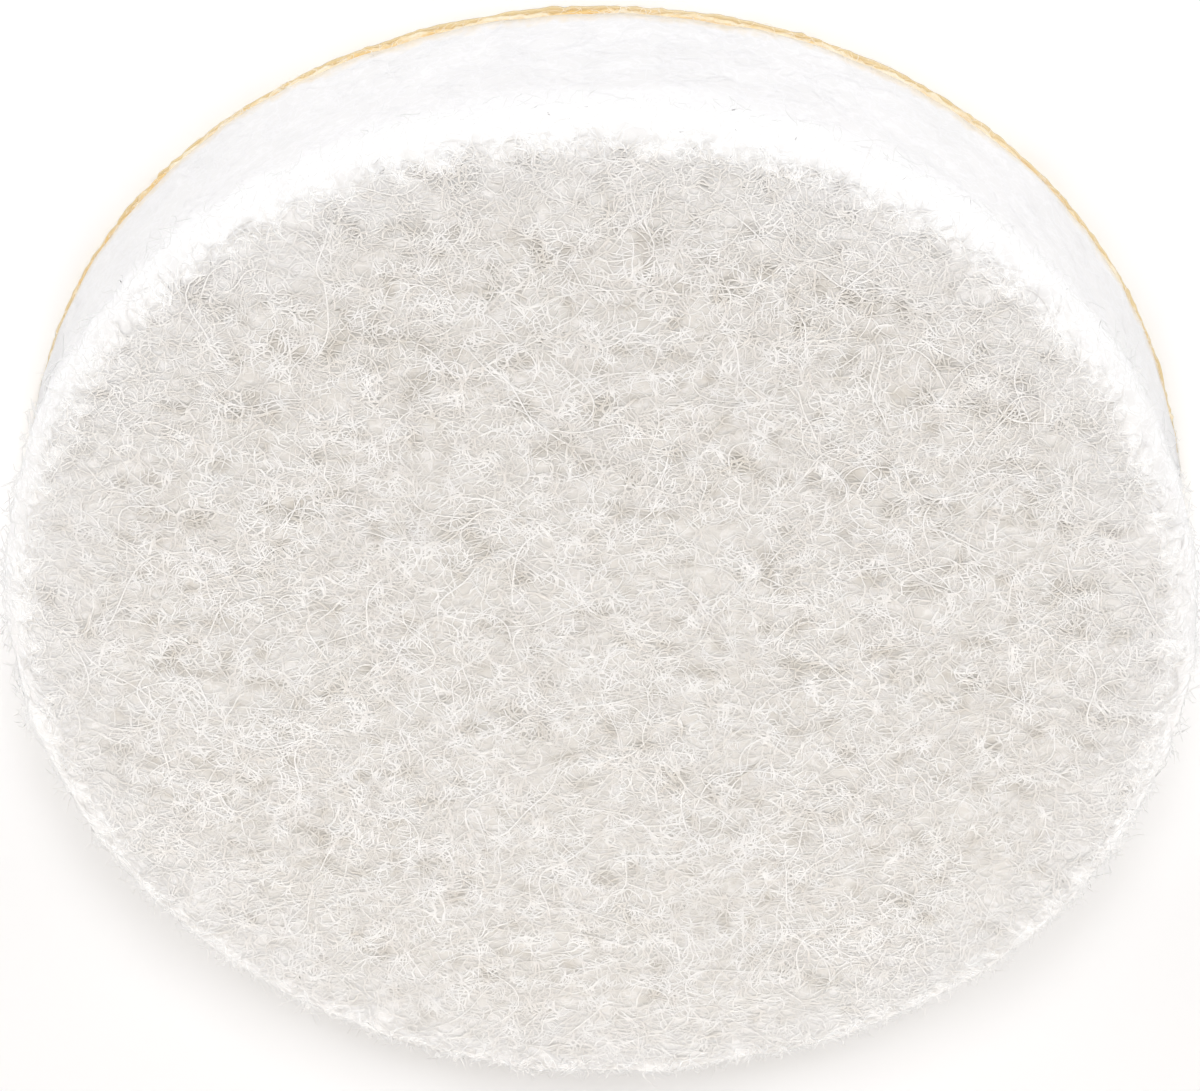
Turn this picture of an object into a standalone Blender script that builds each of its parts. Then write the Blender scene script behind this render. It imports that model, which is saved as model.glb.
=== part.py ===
"""A round self-adhesive felt pad for the foot of a chair or table leg.

Three layers lie on each other, cut by one round die. On top is the disc of needled felt, with
its running face up. Under it are the adhesive film that will hold it to the leg, and the release
paper that covers the film until then. The pad rests on z = 0, centred on the Z axis.

Lengths are in metres.
"""

import math

import bmesh
import bpy

# Driving dimensions of the three layers
PAD_DIAMETER = 0.025
FELT_THICKNESS = 0.00455
ADHESIVE_THICKNESS = 0.00012
PAPER_THICKNESS = 0.00005
BOND_GAP = 0.00001  # clearance from each layer to the next

# The felt's edge, from the running face down to the cut at the adhesive
RUNNING_EDGE_RADIUS = 0.0008  # loose fibres round this rim over
CUT_EDGE_RADIUS = 0.00015
WAIST_DEPTH = 0.00006  # thick felt springs back hollow after the die has squeezed it
LARGEST_EDGE_SHARE = 0.45  # no edge radius takes more than this share of the felt's thickness

# The thin layers' edges
ADHESIVE_INSET = 0.00003  # the film ends this far inside the felt's wall
PAPER_OVERHANG = 0.00004  # the paper stands this far outside the felt's wall

# Resolution of the turned surfaces
TURN_STEPS = 120
EDGE_STEPS = 8
CUT_EDGE_STEPS = 3
WALL_STEPS = 6
FILM_EDGE_STEPS = 4
WELD_DISTANCE = 0.0000001

# Principled colours, as linear red, green and blue
FELT_WHITE = (0.80, 0.76, 0.72)
ADHESIVE_AMBER = (0.90, 0.62, 0.27)
PAPER_STRAW = (0.72, 0.56, 0.34)


def clear_scene():
    """Remove every object that the opened file holds."""
    for item in list(bpy.data.objects):
        bpy.data.objects.remove(item, do_unlink=True)


def finish(name, colour, roughness, sheen=0.0, transmission=0.0):
    """Make a Principled material for one layer."""
    material = bpy.data.materials.new(name)
    material.use_nodes = True
    shader = material.node_tree.nodes["Principled BSDF"]
    shader.inputs["Base Color"].default_value = (*colour, 1.0)
    shader.inputs["Roughness"].default_value = roughness
    shader.inputs["Metallic"].default_value = 0.0
    shader.inputs["Sheen Weight"].default_value = sheen
    shader.inputs["Transmission Weight"].default_value = transmission
    material.diffuse_color = (*colour, 1.0)
    return material


def arc(centre, radius, start, end, steps):
    """Points on a round arc in the section plane, both ends included, with angles in degrees."""
    points = []
    for step in range(steps + 1):
        angle = math.radians(start + (end - start) * step / steps)
        points.append((centre[0] + radius * math.cos(angle), centre[1] + radius * math.sin(angle)))
    return points


def felt_section(radius, thickness):
    """Half section of the felt, from the middle of the running face to the middle of the cut face.

    The running rim is a quarter round. The wall below it draws in by a half wave to its waist at
    mid height and comes out again to a small round at the adhesive.
    """
    rim = min(RUNNING_EDGE_RADIUS, LARGEST_EDGE_SHARE * thickness)
    heel = min(CUT_EDGE_RADIUS, LARGEST_EDGE_SHARE * thickness)
    wall_height = thickness - rim - heel
    wall = []
    for step in range(1, WALL_STEPS):
        share = step / WALL_STEPS
        hollow = WAIST_DEPTH * math.sin(math.pi * share)
        wall.append((radius - hollow, thickness - rim - share * wall_height))
    return [
        (0.0, thickness),
        *arc((radius - rim, thickness - rim), rim, 90, 0, EDGE_STEPS),
        *wall,
        *arc((radius - heel, heel), heel, 0, -90, CUT_EDGE_STEPS),
        (0.0, 0.0),
    ]


def film_section(radius, thickness):
    """Half section of the adhesive film, whose soft edge bulges in a half round."""
    half = thickness / 2
    return [
        (0.0, thickness),
        *arc((radius - half, half), half, 90, -90, 2 * FILM_EDGE_STEPS),
        (0.0, 0.0),
    ]


def paper_section(radius, thickness):
    """Half section of the release paper, a flat disc with a square cut edge."""
    return [(0.0, thickness), (radius, thickness), (radius, 0.0), (0.0, 0.0)]


def turned_solid(name, section, height, material):
    """Turn a half section about Z into one closed body, and set its underside at a height."""
    shape = bmesh.new()
    points = [shape.verts.new((radius, 0.0, level)) for radius, level in section]
    edges = [shape.edges.new(pair) for pair in zip(points, points[1:])]
    bmesh.ops.spin(
        shape,
        geom=points + edges,
        cent=(0.0, 0.0, 0.0),
        axis=(0.0, 0.0, 1.0),
        angle=math.tau,
        steps=TURN_STEPS,
    )
    bmesh.ops.remove_doubles(shape, verts=shape.verts, dist=WELD_DISTANCE)
    bmesh.ops.recalc_face_normals(shape, faces=shape.faces)
    mesh = bpy.data.meshes.new(name)
    shape.to_mesh(mesh)
    shape.free()
    mesh.materials.append(material)
    mesh.shade_smooth()
    mesh.set_sharp_from_angle(angle=math.radians(40))
    solid = bpy.data.objects.new(name, mesh)
    solid.location.z = height
    bpy.context.scene.collection.objects.link(solid)
    return solid


def build_pad():
    """Stack the paper, the film and the felt, from the surface up."""
    pad_radius = PAD_DIAMETER / 2
    adhesive_height = PAPER_THICKNESS + BOND_GAP
    felt_height = adhesive_height + ADHESIVE_THICKNESS + BOND_GAP
    turned_solid(
        "release_paper",
        paper_section(pad_radius + PAPER_OVERHANG, PAPER_THICKNESS),
        0.0,
        finish("glassine_paper", PAPER_STRAW, roughness=0.45),
    )
    turned_solid(
        "adhesive_film",
        film_section(pad_radius - ADHESIVE_INSET, ADHESIVE_THICKNESS),
        adhesive_height,
        finish("amber_adhesive", ADHESIVE_AMBER, roughness=0.25, transmission=0.3),
    )
    turned_solid(
        "felt_disc",
        felt_section(pad_radius, FELT_THICKNESS),
        felt_height,
        finish("needled_felt", FELT_WHITE, roughness=0.95, sheen=0.4),
    )


clear_scene()
build_pad()
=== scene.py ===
"""Looks of a round self-adhesive felt pad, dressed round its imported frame.

The felt is a skin of needled relief with thousands of separate fibres tangled over it. Below it
lie the amber adhesive film and its release paper. Lengths are in metres unless a name ends in mm.
"""

import logging
import math
from dataclasses import dataclass, field
from enum import Enum

import bpy
import numpy as np
from mathutils import Matrix, Vector


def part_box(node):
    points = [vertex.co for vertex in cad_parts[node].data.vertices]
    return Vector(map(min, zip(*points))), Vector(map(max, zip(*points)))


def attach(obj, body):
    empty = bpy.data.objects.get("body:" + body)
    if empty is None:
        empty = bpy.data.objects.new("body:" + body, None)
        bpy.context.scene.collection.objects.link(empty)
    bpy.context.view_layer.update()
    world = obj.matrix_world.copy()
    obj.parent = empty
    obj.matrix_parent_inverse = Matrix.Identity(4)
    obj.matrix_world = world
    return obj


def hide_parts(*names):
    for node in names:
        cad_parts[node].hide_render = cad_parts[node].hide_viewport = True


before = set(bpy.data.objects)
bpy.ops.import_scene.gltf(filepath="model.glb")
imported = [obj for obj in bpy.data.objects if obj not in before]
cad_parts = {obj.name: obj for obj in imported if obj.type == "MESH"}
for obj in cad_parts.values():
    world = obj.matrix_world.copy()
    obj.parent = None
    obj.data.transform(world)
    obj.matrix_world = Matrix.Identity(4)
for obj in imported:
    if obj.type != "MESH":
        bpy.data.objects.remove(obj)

LOG = logging.getLogger("felt_pad")
MM = 0.001
TINY = 1e-12  # keeps a vector of no length from being divided by zero
ROOT = "root"


class Slot(Enum):
    """Material slots of the record."""

    FELT = "felt"
    ADHESIVE = "adhesive"
    PAPER = "paper"


class Chart(Enum):
    """How a fibre's flat path is laid on the felt."""

    FACE = "face"
    WALL = "wall"
    HEM = "hem"


class Tone(Enum):
    """How white a fibre looks, by where it lies.

    DEEP, MIDDLE and TOP are layers of the tangle on the face, and STRAND lies over them; the
    deeper a layer lies, the darker its whites, as painted shade. CUT is for the wall, FUZZ for
    loose ends at the rim and HEM for the fibres at the adhesive. Each is the material's name, the
    lightest and the dullest white inside the face, the white near the cut edge, which is painted
    rim light set for how the light falls there, and how much of a needle hole's painted shade it
    takes.
    """

    DEEP = ("fibre_deep", "#F7F5F1", "#E8E3DC", "#ECEAE7", 0.6)
    MIDDLE = ("fibre_middle", "#F8F6F2", "#E9E5DE", "#EEECE9", 0.45)
    TOP = ("fibre_top", "#F9F7F4", "#ECE8E2", "#F0EEEB", 0.3)
    STRAND = ("fibre_strand", "#FCFAF7", "#F6F3EE", "#F2F0ED", 0.1)
    CUT = ("fibre_cut", "#FDFCFC", "#FBFAFA", "#FDFCFC", 0.0)
    FUZZ = ("fibre_fuzz", "#F5F4F2", "#F0EEEC", "#F1F0EE", 0.0)
    HEM = ("fibre_hem", "#FFFAF2", "#FDF1DC", "#FBF8F4", 0.0)


class Tint(Enum):
    """Colours of the lamps' light."""

    COOL = "#F9FBFF"
    PLAIN = "#FFFFFF"
    WARM = "#FFF5EA"


def linear(hex_colour: str) -> tuple[float, float, float, float]:
    """Turn an sRGB hex colour into linear light.

    Args:
        hex_colour: six hex digits, with or without a leading hash.

    Returns:
        Linear red, green, blue and an alpha of 1.
    """
    digits = hex_colour.lstrip("#")
    channels = [int(digits[start:start + 2], 16) / 255 for start in (0, 2, 4)]
    light = [c / 12.92 if c <= 0.04045 else ((c + 0.055) / 1.055) ** 2.4 for c in channels]
    return (light[0], light[1], light[2], 1.0)


def add_node(tree: bpy.types.NodeTree, kind: str, inputs: dict | None = None, **settings) -> bpy.types.Node:
    """Add a shader node with its settings, and set or link its inputs.

    Args:
        tree: the material's node tree.
        kind: the node's type name, such as ShaderNodeMath.
        inputs: input name or index to a value, or to the output socket that feeds it.
        settings: the node's own properties.

    Returns:
        The new node.
    """
    node = tree.nodes.new(kind)
    for name, value in settings.items():
        setattr(node, name, value)
    for key, value in (inputs or {}).items():
        if isinstance(value, bpy.types.NodeSocket):
            tree.links.new(value, node.inputs[key])
        else:
            node.inputs[key].default_value = value
    return node


@dataclass
class Surface:
    """A surface as whole arrays.

    Fields:
        points: one row of x, y, z for each point.
        faces: arrays of corner indices, one array for each number of corners.
        normals: shading normals, one for each point, or None where the shape gives them.
        lean: how far the shape's own normals lean to straight up, one share for each point.
        marks: named values, one for each point, that a material reads.
    """

    points: np.ndarray
    faces: list[np.ndarray]
    normals: np.ndarray | None = None
    lean: np.ndarray | None = None
    marks: dict[str, np.ndarray] = field(default_factory=dict)

    def to_piece(self, name: str, material: bpy.types.Material, slot: Slot) -> bpy.types.Object:
        """Make a smooth object at the origin that rides on the root body.

        Args:
            name: the piece's name.
            material: its finish.
            slot: the record's slot that the finish belongs to; not used.

        Returns:
            The new object.
        """
        piece = self.to_object(name, material)
        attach(piece, ROOT)
        LOG.info("%s: %d triangles", name, sum(len(f) * (f.shape[1] - 2) for f in self.faces))
        return piece

    def to_object(self, name: str, material: bpy.types.Material) -> bpy.types.Object:
        """Put the arrays into a smooth mesh object at the origin.

        Args:
            name: the name of the object and of its mesh.
            material: its one finish.

        Returns:
            The new object.
        """
        mesh = bpy.data.meshes.new(name)
        corners = np.concatenate([f.ravel() for f in self.faces]).astype(np.int32)
        sides = np.concatenate([np.full(len(f), f.shape[1], np.int32) for f in self.faces])
        starts = np.concatenate([[0], np.cumsum(sides)[:-1]]).astype(np.int32)
        mesh.vertices.add(len(self.points))
        mesh.vertices.foreach_set("co", self.points.astype(np.float32).ravel())
        mesh.loops.add(len(corners))
        mesh.loops.foreach_set("vertex_index", corners)
        mesh.polygons.add(len(sides))
        mesh.polygons.foreach_set("loop_start", starts)
        mesh.polygons.foreach_set("loop_total", sides)
        mesh.polygons.foreach_set("use_smooth", np.ones(len(sides), bool))
        mesh.update(calc_edges=True)
        normals = self.normals
        if self.lean is not None:
            own = np.empty(3 * len(self.points), np.float32)
            mesh.vertex_normals.foreach_get("vector", own)
            normals = leaned(own.reshape(-1, 3), self.lean)
        if normals is not None:
            mesh.normals_split_custom_set_from_vertices(normals)
        for label, values in self.marks.items():
            mesh.attributes.new(label, "FLOAT", "POINT").data.foreach_set("value", values)
        mesh.materials.append(material)
        thing = bpy.data.objects.new(name, mesh)
        bpy.context.scene.collection.objects.link(thing)
        return thing


def leaned(normals: np.ndarray, share: np.ndarray) -> np.ndarray:
    """Lean normals to straight up, as (1 - share) x normal + share x up at unit length.

    Args:
        normals: array whose last axis holds x, y, z.
        share: how far each leans, from 0 to 1.

    Returns:
        The leaned normals.
    """
    share = share[..., None]
    turned = (1 - share) * normals + share * np.array([0.0, 0.0, 1.0])
    return turned / np.linalg.norm(turned, axis=-1, keepdims=True)


def band_quads(rows: int, columns: int, first: int = 0) -> np.ndarray:
    """Quads between closed rows of points that follow each other down a wall.

    Args:
        rows: number of rows.
        columns: points in each row, counted anticlockwise from above.
        first: index of the first row's first point.

    Returns:
        Corner indices, four to a face, facing outwards.
    """
    row = np.arange(rows - 1)[:, None]
    column = np.arange(columns)[None, :]
    following = (column + 1) % columns
    here, below = first + row * columns, first + (row + 1) * columns
    corners = [here + column, below + column, below + following, here + following]
    return np.stack([c.ravel() for c in corners], axis=1)


@dataclass(frozen=True)
class Waves:
    """A smooth random field: a sum of plane waves of about one length, with unit variance.

    Fields:
        length: middle wavelength.
        seed: choice of the random waves.
        count: number of waves.
        spread: how far wavelengths vary, as a share of the middle one.
    """

    length: float
    seed: int
    count: int = 40
    spread: float = 0.35

    def at(self, points: np.ndarray) -> np.ndarray:
        """Sample the field.

        Each wave is cos(k . p + phase), with k in a random direction and of length two pi over a
        wavelength that varies by the spread. The sum is scaled to a variance of one.

        Args:
            points: array whose last axis holds x, y, z.

        Returns:
            One value for each point.
        """
        draw = np.random.default_rng(self.seed)
        ways = draw.normal(size=(self.count, 3))
        ways /= np.linalg.norm(ways, axis=1, keepdims=True)
        lengths = self.length * (1 + self.spread * draw.uniform(-1, 1, self.count))
        phases = draw.uniform(0, 2 * math.pi, self.count)
        total = np.zeros(points.shape[:-1])
        for way, length, phase in zip(ways, lengths, phases):
            total += np.cos(points @ (way * 2 * math.pi / length) + phase)
        return total * math.sqrt(2 / self.count)


@dataclass(frozen=True)
class Outline:
    """The die-cut outline, which soft felt leaves a little out of round.

    Each lobe is (count, cosine share, sine share): the radius is multiplied by
    1 + sum of cosine share x cos(count x angle) + sine share x sin(count x angle).
    """

    lobes: tuple[tuple[int, float, float], ...] = (
        (2, 0.0030, -0.0018), (3, 0.0018, 0.0012), (4, -0.0019, -0.0028)
    )

    def at(self, angle: np.ndarray) -> np.ndarray:
        """Factor on the radius, as the lobes give it.

        Args:
            angle: angles about the axis.

        Returns:
            One factor for each angle.
        """
        factor = np.ones_like(angle)
        for count, cosine, sine in self.lobes:
            factor += cosine * np.cos(count * angle) + sine * np.sin(count * angle)
        return factor


@dataclass(frozen=True)
class FeltSkin:
    """The felt's outer skin, addressed by the distance along its section from the middle.

    The section runs flat from the middle of the face, over a quarter-round rim, down a wall that
    draws in to a shallow waist, and over a small round to the adhesive.

    Fields:
        radius: of the pad.
        low, high: heights of the cut face and of the running face.
        outline: the shape that the die cut.
        rim, heel: radii of the rounds at the top and the bottom of the wall.
        waist: how far the wall draws in at its middle.
        border: width of the band inside the rim in which the colour turns to painted rim light.
        border_power: how late in that band it turns.
        rim_lean: how far shading leans to straight up at the rim.
        lean_reach: how far down that lean lasts, in lengths of the rim's arc.
        foot_gap: clearance of the lowest fibre over the surface that the pad lies on.
    """

    radius: float
    low: float
    high: float
    outline: Outline
    rim: float = 0.8 * MM
    heel: float = 0.15 * MM
    waist: float = 0.06 * MM
    border: float = 2.3 * MM
    border_power: float = 1.5
    rim_lean: float = 0.5
    lean_reach: float = 1.6
    foot_gap: float = 0.02 * MM

    @property
    def flat(self) -> float:
        """Distance from the middle to where the rim starts."""
        return self.radius - self.rim

    @property
    def wall_top(self) -> float:
        """Distance along the section to the bottom of the rim."""
        return self.flat + self.rim * math.pi / 2

    @property
    def wall_end(self) -> float:
        """Distance along the section to the top of the heel."""
        return self.wall_top + (self.high - self.low - self.rim - self.heel)

    @property
    def end(self) -> float:
        """Distance along the section to the foot of the heel."""
        return self.wall_end + self.heel * math.pi / 2

    @property
    def foot(self) -> float:
        """Distance along the hem to just above the surface that the pad lies on."""
        return self.wall_end + self.low + self.heel - self.foot_gap

    def section(self, reach: np.ndarray) -> tuple[np.ndarray, np.ndarray, np.ndarray]:
        """Follow the section.

        Args:
            reach: distances along it from the middle of the face.

        Returns:
            Radius, height, and the normal's tilt from straight up, in radians.
        """
        turn = np.clip((reach - self.flat) / self.rim, 0, math.pi / 2)
        down = np.clip(reach - self.wall_top, 0, self.wall_end - self.wall_top)
        share = down / (self.wall_end - self.wall_top)
        tuck = np.clip((reach - self.wall_end) / self.heel, 0, math.pi / 2)
        radius = np.minimum(reach, self.flat) + self.rim * np.sin(turn)
        radius -= self.waist * np.sin(math.pi * share) + self.heel * (1 - np.cos(tuck))
        height = self.high - self.rim * (1 - np.cos(turn)) - down - self.heel * np.sin(tuck)
        return radius, height, turn + tuck

    def nearness(self, reach: np.ndarray) -> np.ndarray:
        """Nearness to the cut edge: 0 well inside the face, 1 on the wall, smooth between them.

        It is the way from the start of the border to the top of the wall, to the border's power.
        Materials use it to turn to painted rim light, a tone set for how the light falls there.
        """
        share = (reach - self.flat + self.border) / (self.wall_top - self.flat + self.border)
        return np.clip(share, 0, 1) ** self.border_power

    def lean(self, reach: np.ndarray) -> np.ndarray:
        """How far shading leans to straight up, because light soaks through the loose rim.

        It is the most where the rim starts, and falls as 1 - past squared to nothing on the wall
        just below it.
        """
        past = np.clip((reach - self.flat) / (self.lean_reach * (self.wall_top - self.flat)), 0, 1)
        return self.rim_lean * (1 - past**2)

    def hem(self, reach: np.ndarray, angle: np.ndarray, lift: np.ndarray | float) -> np.ndarray:
        """Points on a plain cylinder that carries the wall on down over the adhesive.

        Args:
            reach: distances along the section.
            angle: angles about the axis.
            lift: distances out from the cylinder.

        Returns:
            An array whose last axis holds x, y, z.
        """
        out = self.radius * self.outline.at(angle) + lift
        down = self.high - self.rim - (reach - self.wall_top)
        return np.stack([out * np.cos(angle), out * np.sin(angle), down + 0 * out], axis=-1)

    def place(self, reach: np.ndarray, angle: np.ndarray, lift: np.ndarray | float) -> np.ndarray:
        """Points above or below the skin.

        Args:
            reach: distances along the section.
            angle: angles about the axis.
            lift: distances out along the skin's normal.

        Returns:
            An array whose last axis holds x, y, z.
        """
        radius, height, tilt = self.section(reach)
        out = radius * self.outline.at(angle) + lift * np.sin(tilt)
        up = height + lift * np.cos(tilt)
        return np.stack([out * np.cos(angle), out * np.sin(angle), up], axis=-1)


@dataclass(frozen=True)
class Relief:
    """Unevenness of needled felt, as heights above its nominal skin.

    Fields:
        swell, lumps, grain: random fields, from the slowest to the finest, each with its height.
        holes: the field that places the needle holes.
        hole_threshold, hole_rise: where a hole starts, and how that rises for each metre of Y,
        so that holes and their painted shade thin out towards +Y, a painted light gradient.
        hole_steepness: how fast a hole deepens.
        bed: how far the felt's mass lies below its loose fibres.
        tuft, tuft_share, tuft_range: the field that gathers loose ends, its strength and limits.
    """

    swell: Waves = Waves(length=3.2 * MM, seed=11)
    lumps: Waves = Waves(length=1.1 * MM, seed=12)
    grain: Waves = Waves(length=0.42 * MM, seed=13)
    holes: Waves = Waves(length=0.8 * MM, seed=14, spread=0.5)
    tuft: Waves = Waves(length=0.9 * MM, seed=15, spread=0.5)
    swell_height: float = 0.025 * MM
    lump_height: float = 0.014 * MM
    grain_height: float = 0.0025 * MM
    hole_depth: float = 0.028 * MM
    hole_threshold: float = 0.85
    hole_rise: float = 0.02 / MM
    hole_steepness: float = 1.6
    bed: float = 0.022 * MM
    tuft_share: float = 0.5
    tuft_range: tuple[float, float] = (0.2, 1.5)

    def tufts(self, points: np.ndarray) -> np.ndarray:
        """Factor on how far loose ends stand out, which gathers them into tufts.

        It is one plus the field times its share, within the limits.
        """
        return np.clip(1 + self.tuft_share * self.tuft.at(points), *self.tuft_range)

    def broad(self, points: np.ndarray) -> np.ndarray:
        """Height of the slow swells and lumps, which fibres follow."""
        return self.swell_height * self.swell.at(points) + self.lump_height * self.lumps.at(points)

    def pits(self, points: np.ndarray) -> np.ndarray:
        """Depth of the needle holes, as a share of the deepest.

        A hole is where its field passes the threshold, and deepens as 1 - exp(-steepness x
        excess). The threshold rises along Y, so holes get scarcer that way, which paints the felt
        lighter towards +Y as a painted light gradient.

        Args:
            points: places on the nominal skin.

        Returns:
            One depth for each point, from 0 to 1.
        """
        threshold = self.hole_threshold + self.hole_rise * points[..., 1]
        excess = np.clip(self.holes.at(points) - threshold, 0, None)
        return 1 - np.exp(-self.hole_steepness * excess)

    def full(self, points: np.ndarray, openness: np.ndarray) -> np.ndarray:
        """Height of the felt's mass under its loose fibres.

        It lies a little below them, with grain and needle holes that they bridge.

        Args:
            points: places on the nominal skin.
            openness: how loose the felt is there, from 0 to 1.

        Returns:
            One height for each point.
        """
        holes = self.hole_depth * self.pits(points)
        loose = self.grain_height * self.grain.at(points) - holes - self.bed
        return self.broad(points) + openness * loose


@dataclass(frozen=True)
class FeltBody:
    """The felt's closed mass, as a displaced skin.

    Fields:
        skin, relief: what is displaced, and by what.
        face_cells, wall_rows: how finely the face and the wall are divided.
        calm: distance over which the relief fades out above the heel's foot.
        wall_openness: how loose the felt is on the wall, where the face counts as one.
    """

    skin: FeltSkin
    relief: Relief
    face_cells: int = 144
    wall_rows: int = 28
    calm: float = 0.35 * MM
    wall_openness: float = 0.25

    def surface(self) -> Surface:
        """Work out the whole skin.

        The face is a square grid bent to a disc: on each ring |a| >= |b| the angle is
        pi / 4 x b / a, otherwise pi / 2 - pi / 4 x a / b, and the distance is the larger of the
        two. Its edge carries on as closed rows down the rim and the wall, and one flat face
        closes the cut side. Every point moves along its normal by the relief, which fades out
        towards the heel.

        Returns:
            The closed surface.
        """
        cells = self.face_cells
        line = np.linspace(-1, 1, cells + 1)
        a, b = np.meshgrid(line, line, indexing="xy")
        wide = np.abs(a) >= np.abs(b)
        safe_a, safe_b = np.where(a == 0, 1, a), np.where(b == 0, 1, b)
        turn = np.where(wide, math.pi / 4 * b / safe_a, math.pi / 2 - math.pi / 4 * a / safe_b)
        signed = np.where(wide, a, b)
        reach = np.abs(signed) * self.skin.flat
        angle = turn + np.where(signed < 0, math.pi, 0)
        face_points, face_pits = self.raised(reach.ravel(), angle.ravel())
        index = np.arange((cells + 1) ** 2).reshape(cells + 1, cells + 1)
        corners = [index[:-1, :-1], index[:-1, 1:], index[1:, 1:], index[1:, :-1]]
        face_quads = np.stack([c.ravel() for c in corners], axis=1)
        edge = np.concatenate([index[0, :-1], index[:-1, -1], index[-1, :0:-1], index[:0:-1, 0]])
        edge_angle = angle.ravel()[edge]
        rows = np.linspace(self.skin.flat, self.skin.end, self.wall_rows + 1)[1:]
        wall_reach, wall_angle = np.meshgrid(rows, edge_angle, indexing="ij")
        wall_points, wall_pits = self.raised(wall_reach.ravel(), wall_angle.ravel())
        first = len(face_points)
        count = len(edge)
        following = np.roll(np.arange(count), -1)
        below = first + np.arange(count)
        seam = np.stack([edge, below, below[following], edge[following]], axis=1)
        wall_quads = band_quads(self.wall_rows, count, first)
        last = first + (self.wall_rows - 1) * count
        base = (last + np.arange(count)[::-1])[None, :]
        points = np.concatenate([face_points, wall_points])
        # The edge mark carries painted rim light, and the pit mark the needle holes' painted shade.
        painted_edge_light = self.skin.nearness(np.concatenate([reach.ravel(), wall_reach.ravel()]))
        marks = {"pit": np.concatenate([face_pits, wall_pits]), "painted_edge_light": painted_edge_light}
        lean = np.concatenate([np.zeros(first), self.skin.lean(wall_reach.ravel())])
        faces = [np.concatenate([face_quads, seam, wall_quads]), base]
        return Surface(points, faces, lean=lean, marks=marks)

    def over_rim(self, reach: np.ndarray) -> np.ndarray:
        """Way round the rim, from 0 on the face to 1 on the cut wall."""
        return np.clip((reach - self.skin.flat) / (self.skin.wall_top - self.skin.flat), 0, 1)

    def raised(self, reach: np.ndarray, angle: np.ndarray) -> tuple[np.ndarray, np.ndarray]:
        """Move skin points by the relief, which is less on the wall and nothing at the heel.

        Args:
            reach: distances along the section.
            angle: angles about the axis.

        Returns:
            The points, and how deep each lies in a needle hole, from 0 to 1.
        """
        nominal = self.skin.place(reach, angle, 0.0)
        fade = np.clip((self.skin.end - reach) / self.calm, 0, 1)
        openness = 1 - (1 - self.wall_openness) * self.over_rim(reach)
        raised = self.skin.place(reach, angle, self.relief.full(nominal, openness) * fade)
        return raised, self.relief.pits(nominal) * openness


@dataclass(frozen=True)
class Crimp:
    """How a needled fibre wriggles: two sine waves that swing its heading.

    Fields:
        slow, quick: least and most turns of each wave from end to end.
        swing: least and most strength of a wave, as shares of the fibre's curl.
        quick_share: strength of the quick wave over the slow one's.
    """

    slow: tuple[float, float] = (0.4, 1.0)
    quick: tuple[float, float] = (1.2, 2.4)
    swing: tuple[float, float] = (0.3, 1.0)
    quick_share: float = 0.45


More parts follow.
